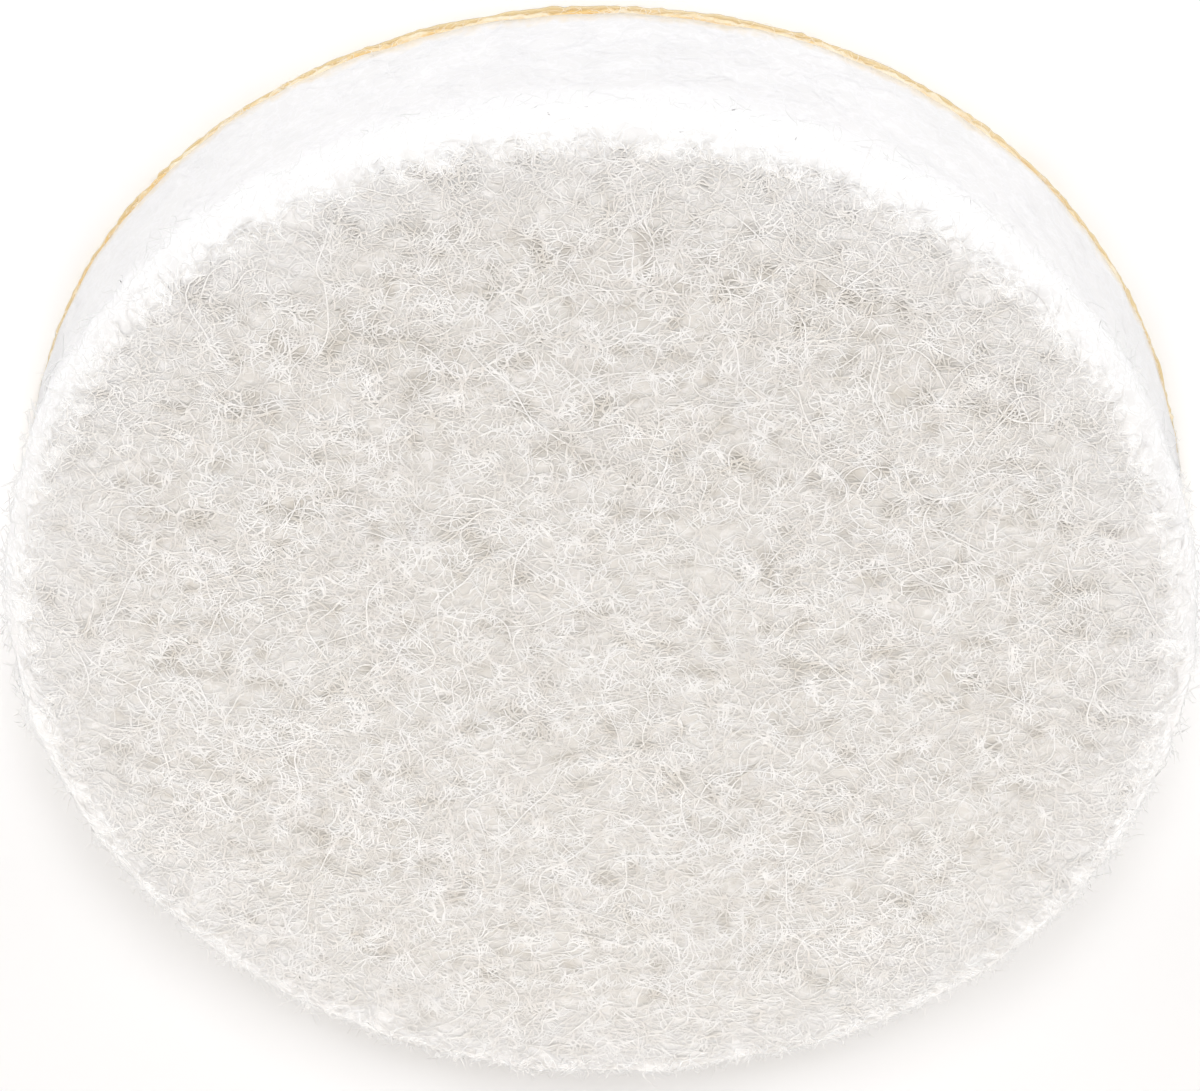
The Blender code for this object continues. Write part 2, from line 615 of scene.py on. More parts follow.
@dataclass(frozen=True)
class Fibres:
    """One kind of felt fibre, laid many times on the skin.

    Fields:
        chart: whether the paths are drawn on the flat face, on the unrolled wall, or on the
            wall carried on down over the adhesive.
        count: number of fibres.
        stations: points along each fibre.
        length: shortest and longest.
        thickness: thinnest and thickest.
        near, far: where on the section the middles lie.
        curl: how far the heading swings, in radians.
        grain: how strongly the headings lean to the first axis, from 0 to 1.
        lift: highest rise of a bridging fibre over the skin.
        stray: how far a loose end stands out, 0 where both ends dive.
        sink: depth of a buried end.
        weave: how often it dips into the felt and comes back, from end to end.
        flatness: height of a fibre's section over its width.
        even: how far its shading normals lean to the felt's own, because light soaks through it.
        tone: the finish, by how deep in the tangle the fibre lies.
        sides: corners of its section.
        casts_shadow: false where it stands free and lets the light through.
        crimp: the waves of its heading.
        vigour: smallest and largest share of its rise that a fibre takes.
        arch_power, stray_power: how a bridging fibre and a loose one rise along their way.
        tip_draw, tip_power: how thin its tips are drawn, and how near the ends.
    """

    name: str
    chart: Chart
    count: int
    stations: int
    length: tuple[float, float]
    thickness: tuple[float, float]
    near: float
    far: float
    seed: int
    curl: float = 1.5
    grain: float = 0.2
    lift: float = 0.03 * MM
    stray: float = 0.0
    sink: float = 0.016 * MM
    weave: float = 0.0
    flatness: float = 0.12
    even: float = 0.9
    tone: Tone = Tone.TOP
    sides: int = 3
    casts_shadow: bool = True
    crimp: Crimp = Crimp()
    vigour: tuple[float, float] = (0.15, 1.0)
    arch_power: float = 0.7
    stray_power: float = 1.3
    tip_draw: float = 0.6
    tip_power: int = 6

    def surface(self, skin: FeltSkin, relief: Relief) -> Surface:
        """Work out every fibre as a closed tube.

        A fibre's heading is its base angle plus two sine waves of random phase, and its path is
        the running sum of equal steps along the heading, centred on the fibre's place.

        Args:
            skin: the felt's skin.
            relief: the unevenness whose broad part the fibres follow.

        Returns:
            All the tubes as one surface.
        """
        draw = np.random.default_rng(self.seed)
        share = np.linspace(0, 1, self.stations)[None, :]
        column = (self.count, 1)
        length = draw.uniform(*self.length, column)
        lean = draw.uniform(0, 2 * math.pi, column)
        lean = lean - self.grain * 0.5 * np.sin(2 * lean)
        crimp = self.crimp
        slow, quick = draw.uniform(*crimp.slow, column), draw.uniform(*crimp.quick, column)
        phases = draw.uniform(0, 2 * math.pi, (2, *column))
        bends = draw.uniform(*crimp.swing, (2, *column)) * self.curl
        heading = lean + bends[0] * np.sin(2 * math.pi * slow * share + phases[0])
        flutter = crimp.quick_share * bends[1]
        heading = heading + flutter * np.sin(2 * math.pi * quick * share + phases[1])
        step = length / (self.stations - 1)
        along = np.cumsum(np.cos(heading) * step, axis=1)
        across = np.cumsum(np.sin(heading) * step, axis=1)
        along -= along.mean(axis=1, keepdims=True)
        across -= across.mean(axis=1, keepdims=True)
        reach, angle = self.spread(draw, skin, along, across)
        rise = self.rise(draw, share)
        place = skin.hem if self.chart is Chart.HEM else skin.place
        nominal = place(reach, angle, 0.0)
        if self.stray:
            rise = np.where(rise > 0, rise * relief.tufts(nominal[:, :1]), rise)
        middle = place(reach, angle, rise + relief.broad(nominal))
        thickness = draw.uniform(*self.thickness, column)
        outward = (place(reach, angle, MM) - nominal) / MM
        lit = leaned(outward, skin.lean(reach))
        tubes = self.tubes(middle, outward, lit, thickness, share)
        # The edge mark paints rim light, and the pit mark needle-hole shade, on each fibre.
        tubes.marks["painted_edge_light"] = np.repeat(skin.nearness(reach).ravel(), self.sides)
        tubes.marks["pit"] = np.repeat(relief.pits(nominal).ravel(), self.sides)
        return tubes

    def spread(
        self, draw: np.random.Generator, skin: FeltSkin, along: np.ndarray, across: np.ndarray
    ) -> tuple[np.ndarray, np.ndarray]:
        """Put the flat paths on the chart.

        On the face the places are uniform over a ring, and the path is read as x and y. On the
        wall and the hem they are uniform over a band, and it is read as distance round and down.
        A hem fibre that would pass the foot turns back up there.

        Args:
            draw: source of random places.
            skin: the felt's skin.
            along: path offsets along the first axis.
            across: path offsets along the second axis.

        Returns:
            Distance along the section and angle about the axis, for each station.
        """
        column = (self.count, 1)
        angle = draw.uniform(0, 2 * math.pi, column)
        if self.chart is Chart.FACE:
            reach = np.sqrt(draw.uniform(self.near**2, self.far**2, column))
            x = reach * np.cos(angle) + along
            y = reach * np.sin(angle) + across
            return np.hypot(x, y), np.arctan2(y, x)
        reach = draw.uniform(self.near, self.far, column) + across
        if self.chart is Chart.WALL:
            reach = np.clip(reach, None, skin.end)
        else:
            reach = skin.foot - np.abs(skin.foot - reach)
        return reach, angle + along / skin.radius

    def rise(self, draw: np.random.Generator, share: np.ndarray) -> np.ndarray:
        """Height of each station over the skin.

        A bridging fibre rises as a half sine to the arch's power and dives at both ends, and a
        weaving one is also multiplied by a squared cosine of random phase. A stray one starts
        buried and rises as the way along it to the stray power.

        Args:
            draw: source of random vigour and phases.
            share: way along the fibre, from 0 to 1.

        Returns:
            One height for each station of each fibre.
        """
        column = (self.count, 1)
        vigour = draw.uniform(*self.vigour, column)
        if self.stray:
            return -self.sink + (self.sink + self.stray * vigour) * share**self.stray_power
        arch = np.sin(math.pi * share) ** self.arch_power
        if self.weave:
            phase = draw.uniform(0, math.pi, column)
            arch = arch * np.cos(math.pi * self.weave * share + phase) ** 2
        return -self.sink + (self.sink + self.lift * vigour) * arch

    def tubes(
        self, middle: np.ndarray, outward: np.ndarray, lit: np.ndarray, thickness: np.ndarray,
        share: np.ndarray,
    ) -> Surface:
        """Sweep a small ring along each path and close both ends.

        The ring's radius falls towards each tip as 1 - tip draw x |2 share - 1| to the tip power.

        Args:
            middle: stations of each path.
            outward: the skin's normal there.
            lit: the normal that light sees there.
            thickness: each fibre's diameter.
            share: way along the fibre, from 0 to 1.

        Returns:
            The tubes, with their tips drawn thin.
        """
        forward = np.gradient(middle, axis=1)
        forward /= np.linalg.norm(forward, axis=-1, keepdims=True) + TINY
        side = np.cross(forward, outward)
        side /= np.linalg.norm(side, axis=-1, keepdims=True) + TINY
        top = np.cross(side, forward)
        radius = thickness / 2 * (1 - self.tip_draw * np.abs(2 * share - 1) ** self.tip_power)
        turns = 2 * math.pi * np.arange(self.sides) / self.sides - math.pi / 2
        ring = (
            np.cos(turns)[None, None, :, None] * side[:, :, None, :]
            + self.flatness * np.sin(turns)[None, None, :, None] * top[:, :, None, :]
        )
        points = middle[:, :, None, :] + radius[:, :, None, None] * ring
        normals = (1 - self.even) * ring + self.even * lit[:, :, None, :]
        normals /= np.linalg.norm(normals, axis=-1, keepdims=True)
        first = (np.arange(self.count) * self.stations * self.sides)[:, None]
        quads = band_quads(self.stations, self.sides)[None] + first[:, :, None]
        start_cap = first + np.arange(self.sides)[None, :]
        end_cap = start_cap[:, ::-1] + (self.stations - 1) * self.sides
        faces = [quads.reshape(-1, 4), start_cap, end_cap]
        return Surface(points.reshape(-1, 3), faces, normals.reshape(-1, 3))


@dataclass(frozen=True)
class ThinLayer:
    """A die-cut film or sheet of even thickness with a closed edge.

    Fields:
        margin: how far its edge stands outside the felt's wall; negative is inside.
        ragged: unevenness of the edge.
        seed: choice of its random waves.
        columns, edge_rows: how finely the edge is divided, round and down.
        bulge: how far the middle of the edge swells out.
        notches: length of each random wave in the edge, and its share of the unevenness.
        rings: radii of the inner rings over the edge's.
    """

    radius: float
    low: float
    high: float
    outline: Outline
    margin: float
    ragged: float
    bulge: float
    seed: int
    columns: int = 600
    edge_rows: int = 7
    notches: tuple[tuple[float, float], ...] = ((1.3 * MM, 0.5), (0.3 * MM, 0.7))
    rings: tuple[float, ...] = (0.998, 0.97)

    def surface(self) -> Surface:
        """Work out the layer.

        The rows run from the inner rings on top, down the edge, and back in below. The edge's
        radius is the outline times the pad's radius, plus the margin, plus random waves, plus a
        bulge that follows half a sine down the edge.

        Returns:
            The closed surface.
        """
        angle = np.linspace(0, 2 * math.pi, self.columns, endpoint=False)
        circle = np.stack([np.cos(angle), np.sin(angle), np.zeros_like(angle)], axis=1)
        notched = sum(
            share * Waves(length=length, seed=self.seed + step).at(circle * self.radius)
            for step, (length, share) in enumerate(self.notches)
        )
        edge = self.radius * self.outline.at(angle) + self.margin + self.ragged * notched
        drop = np.linspace(0, 1, self.edge_rows)
        inner = np.array(self.rings)
        scale = np.concatenate([inner[::-1], np.ones(self.edge_rows), inner])
        level = np.concatenate([np.zeros(len(inner)), drop, np.ones(len(inner))])
        swell = np.concatenate([np.zeros(len(inner)), np.sin(math.pi * drop), np.zeros(len(inner))])
        out = edge[None, :] * scale[:, None] + self.bulge * swell[:, None]
        height = np.broadcast_to((self.high + (self.low - self.high) * level)[:, None], out.shape)
        points = np.stack([out * np.cos(angle), out * np.sin(angle), height], axis=-1)
        rows = len(scale)
        top = np.arange(self.columns)[None, :]
        under = (rows - 1) * self.columns + np.arange(self.columns)[None, ::-1]
        return Surface(points.reshape(-1, 3), [band_quads(rows, self.columns), top, under])


@dataclass(frozen=True)
class FeltZones:
    """How felt changes colour from place to place: painted shade in needle holes, painted light
    near the cut edge, and adhesive drawn up.

    Fields:
        soaked: the peach of felt that has drawn adhesive up into its cut edge.
        strongest: how far the felt takes it at the adhesive.
        reach_mm: how far up it fades out.
        uneven_mm: how far a noise moves that height.
        grain_mm: size of that noise.
    """

    soaked: str = "#FBE8C6"
    strongest: float = 0.75
    reach_mm: float = 0.5
    uneven_mm: float = 0.5
    grain_mm: float = 0.25

    def shade(
        self, tree: bpy.types.NodeTree, colour: bpy.types.NodeSocket, hole: str, hole_share: float,
        cut: tuple | bpy.types.NodeSocket,
    ) -> bpy.types.NodeSocket:
        """Paint shade into needle holes, then turn to painted rim light near the cut edge.

        Args:
            tree: the material's node tree.
            colour: the plain colour inside the face.
            hole: painted shade at the bottom of a hole.
            hole_share: how far the deepest hole takes it.
            cut: painted rim light at the cut edge, a tone set for how light falls there.

        Returns:
            The shaded colour.
        """
        # Painted shade in the needle holes.
        pit = add_node(tree, "ShaderNodeAttribute", attribute_name="pit").outputs["Fac"]
        depth = add_node(tree, "ShaderNodeMath", {0: pit, 1: hole_share}, operation="MULTIPLY")
        holed = add_node(
            tree,
            "ShaderNodeMix",
            {"Factor": depth.outputs[0], "A": colour, "B": linear(hole)},
            data_type="RGBA",
        )
        # Painted rim light near the cut edge.
        edge = add_node(tree, "ShaderNodeAttribute", attribute_name="painted_edge_light").outputs["Fac"]
        shaded = add_node(
            tree,
            "ShaderNodeMix",
            {"Factor": edge, "A": holed.outputs["Result"], "B": cut},
            data_type="RGBA",
        )
        return shaded.outputs["Result"]

    def soak(
        self, tree: bpy.types.NodeTree, place: bpy.types.NodeSocket, colour: bpy.types.NodeSocket,
        adhesive_top: float,
    ) -> bpy.types.NodeSocket:
        """Lay the adhesive's tint over a colour.

        It is the strongest at the adhesive and falls smoothly to nothing at its reach, and a fine
        noise moves the height at which it is read.

        Args:
            tree: the material's node tree.
            place: Object coordinates.
            colour: the dry colour.
            adhesive_top: height of the felt's cut face.

        Returns:
            The tinted colour.
        """
        height = add_node(tree, "ShaderNodeSeparateXYZ", {"Vector": place}).outputs["Z"]
        grain = add_node(
            tree,
            "ShaderNodeTexNoise",
            {"Vector": place, "Scale": 1 / (self.grain_mm * MM), "Detail": 3.0},
        )
        moved = add_node(
            tree,
            "ShaderNodeMath",
            {0: grain.outputs["Fac"], 1: self.uneven_mm * MM, 2: height},
            operation="MULTIPLY_ADD",
        )
        start = adhesive_top + self.uneven_mm * MM / 2
        share = add_node(
            tree,
            "ShaderNodeMapRange",
            {"Value": moved.outputs[0], "From Min": start, "From Max": start + self.reach_mm * MM,
             "To Min": self.strongest, "To Max": 0.0},
            interpolation_type="SMOOTHSTEP",
        )
        tinted = add_node(
            tree,
            "ShaderNodeMix",
            {"Factor": share.outputs["Result"], "A": colour, "B": linear(self.soaked)},
            data_type="RGBA",
        )
        return tinted.outputs["Result"]


@dataclass(frozen=True)
class NeedledPolyester:
    """White needle-punched polyester felt: matt, fibrous, with a soft sheen at grazing angles.

    Fields:
        fibre, gap: colours of a strand and of the painted shade between strands, on the face.
        hole, hole_share: painted shade at the bottom of a needle hole, and how far it is taken.
        cut, cut_gap: colours of a strand and of the painted shade between strands on the cut wall,
            which near the edge take over as painted rim light.
        strand_mm: spacing of each layer of strands.
        mottle_mm: size of the mottling, which also gives the bump.
        strand_width: their width, as a band of the noise that places them.
        strand_cover, mottle_cover: how much of the felt's white comes from strands and mottling.
        draw_out: scale of the pattern's coordinates, which draws the strands out along X.
        layer_shift: how far each layer's pattern lies from the last one's.
    """

    name: str = "needled_polyester_felt"
    # The felt's mass is a little darker than its loose fibres, as painted shade under them.
    fibre: str = "#EDEAE6"
    gap: str = "#DDD9D2"
    hole: str = "#CFC7B9"
    cut: str = "#FDFCFC"
    cut_gap: str = "#F6F5F4"
    hole_share: float = 0.5
    roughness: float = 0.92
    sheen: float = 0.25
    sheen_roughness: float = 0.5
    specular: float = 0.25
    strand_mm: tuple[float, ...] = (0.34, 0.21)
    strand_width: float = 0.035
    strand_cover: float = 0.75
    mottle_cover: float = 0.4
    mottle_mm: float = 1.6
    draw_out: tuple[float, float, float] = (0.8, 1.15, 1.15)
    layer_shift: tuple[float, float, float] = (0.011, 0.017, 0.005)
    bump_mm: float = 0.015
    bump_strength: float = 0.12

    def build(self, adhesive_top: float) -> bpy.types.Material:
        """Make the felt's material.

        Strands are the lines where a noise crosses its middle value. Two sizes of them lie over
        each other, under the modelled fibres.

        Args:
            adhesive_top: height of the felt's cut face, above which adhesive has soaked in.

        Returns:
            The material.
        """
        material = bpy.data.materials.new(self.name)
        material.use_nodes = True
        tree = material.node_tree
        shader = tree.nodes["Principled BSDF"]
        place = add_node(tree, "ShaderNodeTexCoord").outputs["Object"]
        strands = None
        for step, spacing in enumerate(self.strand_mm):
            shifted = add_node(
                tree,
                "ShaderNodeMapping",
                {"Vector": place, "Location": [step * shift for shift in self.layer_shift],
                 "Scale": self.draw_out},
            )
            noise = add_node(
                tree,
                "ShaderNodeTexNoise",
                {"Vector": shifted.outputs["Vector"], "Scale": 1 / (2 * spacing * MM),
                 "Detail": 2.0, "Roughness": 0.6},
            )
            side = add_node(
                tree, "ShaderNodeMath", {0: noise.outputs["Fac"], 1: 0.5}, operation="SUBTRACT"
            )
            off_middle = add_node(
                tree, "ShaderNodeMath", {0: side.outputs[0]}, operation="ABSOLUTE"
            )
            line = add_node(
                tree,
                "ShaderNodeMapRange",
                {"Value": off_middle.outputs[0], "From Min": 0.0, "From Max": self.strand_width,
                 "To Min": 1.0, "To Max": 0.0},
                interpolation_type="SMOOTHSTEP",
            ).outputs["Result"]
            if strands is None:
                strands = line
            else:
                strands = add_node(
                    tree, "ShaderNodeMath", {0: strands, 1: line}, operation="MAXIMUM"
                ).outputs[0]
        mottle = add_node(
            tree,
            "ShaderNodeTexNoise",
            {"Vector": place, "Scale": 1 / (self.mottle_mm * MM), "Detail": 3.0, "Roughness": 0.55},
        )
        mottling = add_node(
            tree, "ShaderNodeMath", {0: mottle.outputs["Fac"], 1: self.mottle_cover},
            operation="MULTIPLY",
        )
        cover = add_node(
            tree,
            "ShaderNodeMath",
            {0: strands, 1: self.strand_cover, 2: mottling.outputs[0]},
            operation="MULTIPLY_ADD",
            use_clamp=True,
        )
        felt = add_node(
            tree,
            "ShaderNodeMix",
            {"Factor": cover.outputs[0], "A": linear(self.gap), "B": linear(self.fibre)},
            data_type="RGBA",
        )
        cut_side = add_node(
            tree,
            "ShaderNodeMix",
            {"Factor": cover.outputs[0], "A": linear(self.cut_gap), "B": linear(self.cut)},
            data_type="RGBA",
        )
        zones = FeltZones()
        shaded = zones.shade(
            tree, felt.outputs["Result"], self.hole, self.hole_share, cut_side.outputs["Result"]
        )
        colour = zones.soak(tree, place, shaded, adhesive_top)
        bump = add_node(
            tree,
            "ShaderNodeBump",
            {"Height": mottle.outputs["Fac"], "Strength": self.bump_strength,
             "Distance": self.bump_mm * MM},
        )
        tree.links.new(colour, shader.inputs["Base Color"])
        tree.links.new(bump.outputs["Normal"], shader.inputs["Normal"])
        shader.inputs["Roughness"].default_value = self.roughness
        shader.inputs["Sheen Weight"].default_value = self.sheen
        shader.inputs["Sheen Roughness"].default_value = self.sheen_roughness
        shader.inputs["Specular IOR Level"].default_value = self.specular
        return material


@dataclass(frozen=True)
class FibreFinish:
    """One polyester fibre: white, smooth and a little glossy along its length.

    Fields:
        tone: the fibre's whites, and its share of a needle hole's painted shade.
        hole: painted shade at the bottom of a needle hole.
        drift_mm: size of the cloud that drifts between the two whites.
        drift_range: values of the cloud where the white is the dullest and the lightest.
        draw_out: length of the cloud along X over its width.
    """

    tone: Tone
    hole: str = "#CDC5B7"
    roughness: float = 0.6
    sheen: float = 0.6
    specular: float = 0.4
    drift_mm: float = 0.42
    drift_range: tuple[float, float] = (0.36, 0.64)
    draw_out: float = 1.1

    def build(self, adhesive_top: float) -> bpy.types.Material:
        """Make the fibres' material, which drifts between two whites from place to place.

        Args:
            adhesive_top: height of the felt's cut face, above which adhesive has soaked in.

        Returns:
            The material.
        """
        name, light, dull, cut, hole_share = self.tone.value
        material = bpy.data.materials.new(name)
        material.use_nodes = True
        tree = material.node_tree
        shader = tree.nodes["Principled BSDF"]
        place = add_node(tree, "ShaderNodeTexCoord").outputs["Object"]
        drawn = add_node(
            tree, "ShaderNodeMapping", {"Vector": place, "Scale": (1 / self.draw_out, 1.0, 1.0)}
        )
        cloud = add_node(
            tree,
            "ShaderNodeTexNoise",
            {"Vector": drawn.outputs["Vector"], "Scale": 1 / (self.drift_mm * MM), "Detail": 2.0},
        )
        drift = add_node(
            tree,
            "ShaderNodeMapRange",
            {"Value": cloud.outputs["Fac"], "From Min": self.drift_range[0],
             "From Max": self.drift_range[1]},
            interpolation_type="SMOOTHSTEP",
        )
        inside = add_node(
            tree,
            "ShaderNodeMix",
            {"Factor": drift.outputs["Result"], "A": linear(dull), "B": linear(light)},
            data_type="RGBA",
        )
        zones = FeltZones()
        # Painted shade in the needle holes, and painted rim light near the cut edge.
        shaded = zones.shade(tree, inside.outputs["Result"], self.hole, hole_share, linear(cut))
        colour = zones.soak(tree, place, shaded, adhesive_top)
        tree.links.new(colour, shader.inputs["Base Color"])
        shader.inputs["Roughness"].default_value = self.roughness
        shader.inputs["Sheen Weight"].default_value = self.sheen
        shader.inputs["Specular IOR Level"].default_value = self.specular
        return material


@dataclass(frozen=True)
class AcrylicAdhesive:
    """Amber acrylic adhesive: a clear tacky film with a wet shine.

    Fields:
        pale, deep: colours where the film is thin and where it is thick.
        flow_mm: size of the patches between which its thickness drifts.
        flow_range: values of the patches' noise where the film is the deepest and the palest.
    """

    name: str = "acrylic_adhesive"
    pale: str = "#FDF2D8"
    deep: str = "#F0CB82"
    roughness: float = 0.28
    ior: float = 1.47
    flow_mm: float = 2.6
    flow_range: tuple[float, float] = (0.38, 0.6)
    bump_mm: float = 0.02
    bump_strength: float = 0.3

    def build(self) -> bpy.types.Material:
        """Make the adhesive's material, deeper where the film is thicker.

        Returns:
            The material.
        """
        material = bpy.data.materials.new(self.name)
        material.use_nodes = True
        tree = material.node_tree
        shader = tree.nodes["Principled BSDF"]
        place = add_node(tree, "ShaderNodeTexCoord").outputs["Object"]
        flow = add_node(
            tree,
            "ShaderNodeTexNoise",
            {"Vector": place, "Scale": 1 / (self.flow_mm * MM), "Detail": 5.0, "Roughness": 0.75},
        )
        depth = add_node(
            tree,
            "ShaderNodeMapRange",
            {"Value": flow.outputs["Fac"], "From Min": self.flow_range[0],
             "From Max": self.flow_range[1]},
            interpolation_type="SMOOTHSTEP",
        )
        colour = add_node(
            tree,
            "ShaderNodeMix",
            {"Factor": depth.outputs["Result"], "A": linear(self.deep), "B": linear(self.pale)},
            data_type="RGBA",
        )
        bump = add_node(
            tree,
            "ShaderNodeBump",
            {"Height": flow.outputs["Fac"], "Strength": self.bump_strength,
             "Distance": self.bump_mm * MM},
        )
        tree.links.new(colour.outputs["Result"], shader.inputs["Base Color"])
        tree.links.new(bump.outputs["Normal"], shader.inputs["Normal"])
        shader.inputs["Roughness"].default_value = self.roughness
        shader.inputs["IOR"].default_value = self.ior
        return material


@dataclass(frozen=True)
class GlassinePaper:
    """Glassine release paper: calendered, straw-coloured, satin, with cloudy fibre flocks.

    Fields:
        pale, deep: colours between which it drifts.
        cloud_mm: size of its clouds.
    """

    name: str = "glassine_paper"
    pale: str = "#F6E6C2"
    deep: str = "#E2C992"
    roughness: float = 0.42
    specular: float = 0.5
    cloud_mm: float = 1.5
    bump_mm: float = 0.01
    bump_strength: float = 0.25

    def build(self) -> bpy.types.Material:
        """Make the paper's material, which drifts between its two colours in clouds.

        Returns:
            The material.
        """
        material = bpy.data.materials.new(self.name)
        material.use_nodes = True
        tree = material.node_tree
        shader = tree.nodes["Principled BSDF"]
        place = add_node(tree, "ShaderNodeTexCoord").outputs["Object"]
        cloud = add_node(
            tree,
            "ShaderNodeTexNoise",
            {"Vector": place, "Scale": 1 / (self.cloud_mm * MM), "Detail": 5.0},
        )
        colour = add_node(
            tree,
            "ShaderNodeMix",
            {"Factor": cloud.outputs["Fac"], "A": linear(self.deep), "B": linear(self.pale)},
            data_type="RGBA",
        )
        bump = add_node(
            tree,
            "ShaderNodeBump",
            {"Height": cloud.outputs["Fac"], "Strength": self.bump_strength,
             "Distance": self.bump_mm * MM},
        )
        tree.links.new(colour.outputs["Result"], shader.inputs["Base Color"])
        tree.links.new(bump.outputs["Normal"], shader.inputs["Normal"])
        shader.inputs["Roughness"].default_value = self.roughness
        shader.inputs["Specular IOR Level"].default_value = self.specular
        return material


@dataclass
class FeltPad:
    """The whole pad: felt, fibres, adhesive film and release paper.

    Fields:
        outline: the die-cut outline that every layer shares.
        relief: the felt's unevenness.
    """

    outline: Outline = field(default_factory=Outline)
    relief: Relief = field(default_factory=Relief)

    def __post_init__(self) -> None:
        """Read the sizes of the layers from the frame."""
        low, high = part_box("felt_disc")
        self.radius = (high[0] - low[0]) / 2
        self.skin = FeltSkin(self.radius, low[2], high[2], self.outline)
        self.film_low, self.film_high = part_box("adhesive_film")[0][2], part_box("adhesive_film")[1][2]
        self.paper_low, self.paper_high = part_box("release_paper")[0][2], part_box("release_paper")[1][2]

    def build_felt(self) -> bpy.types.Object:
        """Build the felt's body in place of its plain solid.

        Returns:
            The felt's piece.
        """
        material = NeedledPolyester().build(self.skin.low)
        body = FeltBody(self.skin, self.relief).surface().to_piece("felt_body", material, Slot.FELT)
        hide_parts("felt_disc")
        return body

    def fibre_kinds(self) -> list[Fibres]:
        """The kinds of fibre on the felt, with their numbers and sizes.

        Returns:
            One entry for each kind, from the deepest on the face to those at the adhesive.
        """
        skin = self.skin
        tangle = {
            "chart": Chart.FACE, "count": 5000, "length": (0.5 * MM, 1.2 * MM), "near": 0.0,
            "far": skin.flat + 0.5 * skin.rim, "grain": 0.3,
        }
        loose = {"flatness": 0.8, "even": 0.6, "tone": Tone.FUZZ, "casts_shadow": False}
        wide, fine = (0.03 * MM, 0.052 * MM), (0.022 * MM, 0.038 * MM)
        return [
            # Deeper layers take darker tones, as painted shade in the tangle.
            Fibres(
                "face_tangle_low", seed=21, stations=6, thickness=wide, lift=0.001 * MM,
                tone=Tone.DEEP, **tangle,
            ),
            Fibres(
                "face_tangle_mid", seed=22, stations=6, thickness=fine, lift=0.004 * MM,
                tone=Tone.MIDDLE, **tangle,
            ),
            Fibres(
                "face_tangle_high", seed=26, stations=7, thickness=fine, lift=0.008 * MM, **tangle
            ),
            Fibres(
                "face_curls", Chart.FACE, count=1850, stations=10, length=(1.0 * MM, 2.2 * MM),
                thickness=(0.024 * MM, 0.04 * MM), near=0.0, far=skin.flat + 0.3 * skin.rim,
                seed=27, curl=2.2, lift=0.013 * MM, weave=0.8,
            ),
            Fibres(
                "face_strands", Chart.FACE, count=520, stations=20, length=(1.8 * MM, 5.0 * MM),
                thickness=(0.024 * MM, 0.038 * MM), near=0.0, far=skin.flat, seed=23, grain=0.5,
                lift=0.026 * MM, weave=1.2, tone=Tone.STRAND,
            ),
            Fibres(
                "wall_tangle", Chart.WALL, count=2400, stations=7, length=(0.6 * MM, 1.6 * MM),
                thickness=(0.016 * MM, 0.028 * MM), near=skin.wall_top - 0.3 * MM,
                far=skin.end - 0.4 * MM, seed=24, curl=1.2, grain=0.9, lift=0.005 * MM,
                sink=0.008 * MM, flatness=0.1, tone=Tone.CUT, casts_shadow=False,
            ),
            Fibres(
                "edge_fuzz", Chart.WALL, count=600, stations=6, length=(0.35 * MM, 0.9 * MM),
                thickness=(0.018 * MM, 0.032 * MM), near=skin.flat, far=skin.wall_top + 0.3 * MM,
                seed=25, curl=1.4, stray=0.28 * MM, **loose,
            ),
            Fibres(
                "rim_fuzz", Chart.WALL, count=3400, stations=5, length=(0.25 * MM, 0.65 * MM),
                thickness=(0.018 * MM, 0.034 * MM), near=skin.flat + 0.1 * MM, far=skin.wall_top,
                seed=28, curl=1.6, grain=0.0, stray=0.25 * MM, **loose,
            ),
            Fibres(
                "hem_fibres", Chart.HEM, count=900, stations=5, length=(0.2 * MM, 0.6 * MM),
                thickness=(0.012 * MM, 0.024 * MM), near=skin.wall_end - 0.1 * MM,
                far=skin.wall_end + 0.3 * MM, seed=29, curl=1.3, lift=0.04 * MM, sink=0.0,
                tone=Tone.HEM, casts_shadow=False,
            ),
        ]

    def build_fibres(self) -> list[bpy.types.Object]:
        """Build one piece for each kind of fibre.

        Returns:
            The pieces, in the order of the kinds.
        """
        finishes = {tone: FibreFinish(tone).build(self.skin.low) for tone in Tone}
        pieces = []
        for kind in self.fibre_kinds():
            tubes = kind.surface(self.skin, self.relief)
            piece = tubes.to_piece(kind.name, finishes[kind.tone], Slot.FELT)
            piece.visible_shadow = kind.casts_shadow
            pieces.append(piece)
        return pieces

    def build_adhesive(self) -> bpy.types.Object:
        """Build the adhesive film, squeezed out unevenly along its edge.

        Returns:
            The film's piece.
        """
        layer = ThinLayer(
            self.radius, self.film_low, self.film_high, self.outline, margin=-0.04 * MM,
            ragged=0.03 * MM, bulge=0.015 * MM, seed=31,
        )
        piece = layer.surface().to_piece("adhesive_layer", AcrylicAdhesive().build(), Slot.ADHESIVE)
        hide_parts("adhesive_film")
        return piece

    def build_paper(self) -> bpy.types.Object:
        """Build the release paper, cut by the same die.

        Returns:
            The paper's piece.
        """
        layer = ThinLayer(
            self.radius, self.paper_low, self.paper_high, self.outline, margin=0.005 * MM,
            ragged=0.018 * MM, bulge=0.0, seed=33, edge_rows=2,
        )
        piece = layer.surface().to_piece("paper_sheet", GlassinePaper().build(), Slot.PAPER)
        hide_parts("release_paper")
        return piece


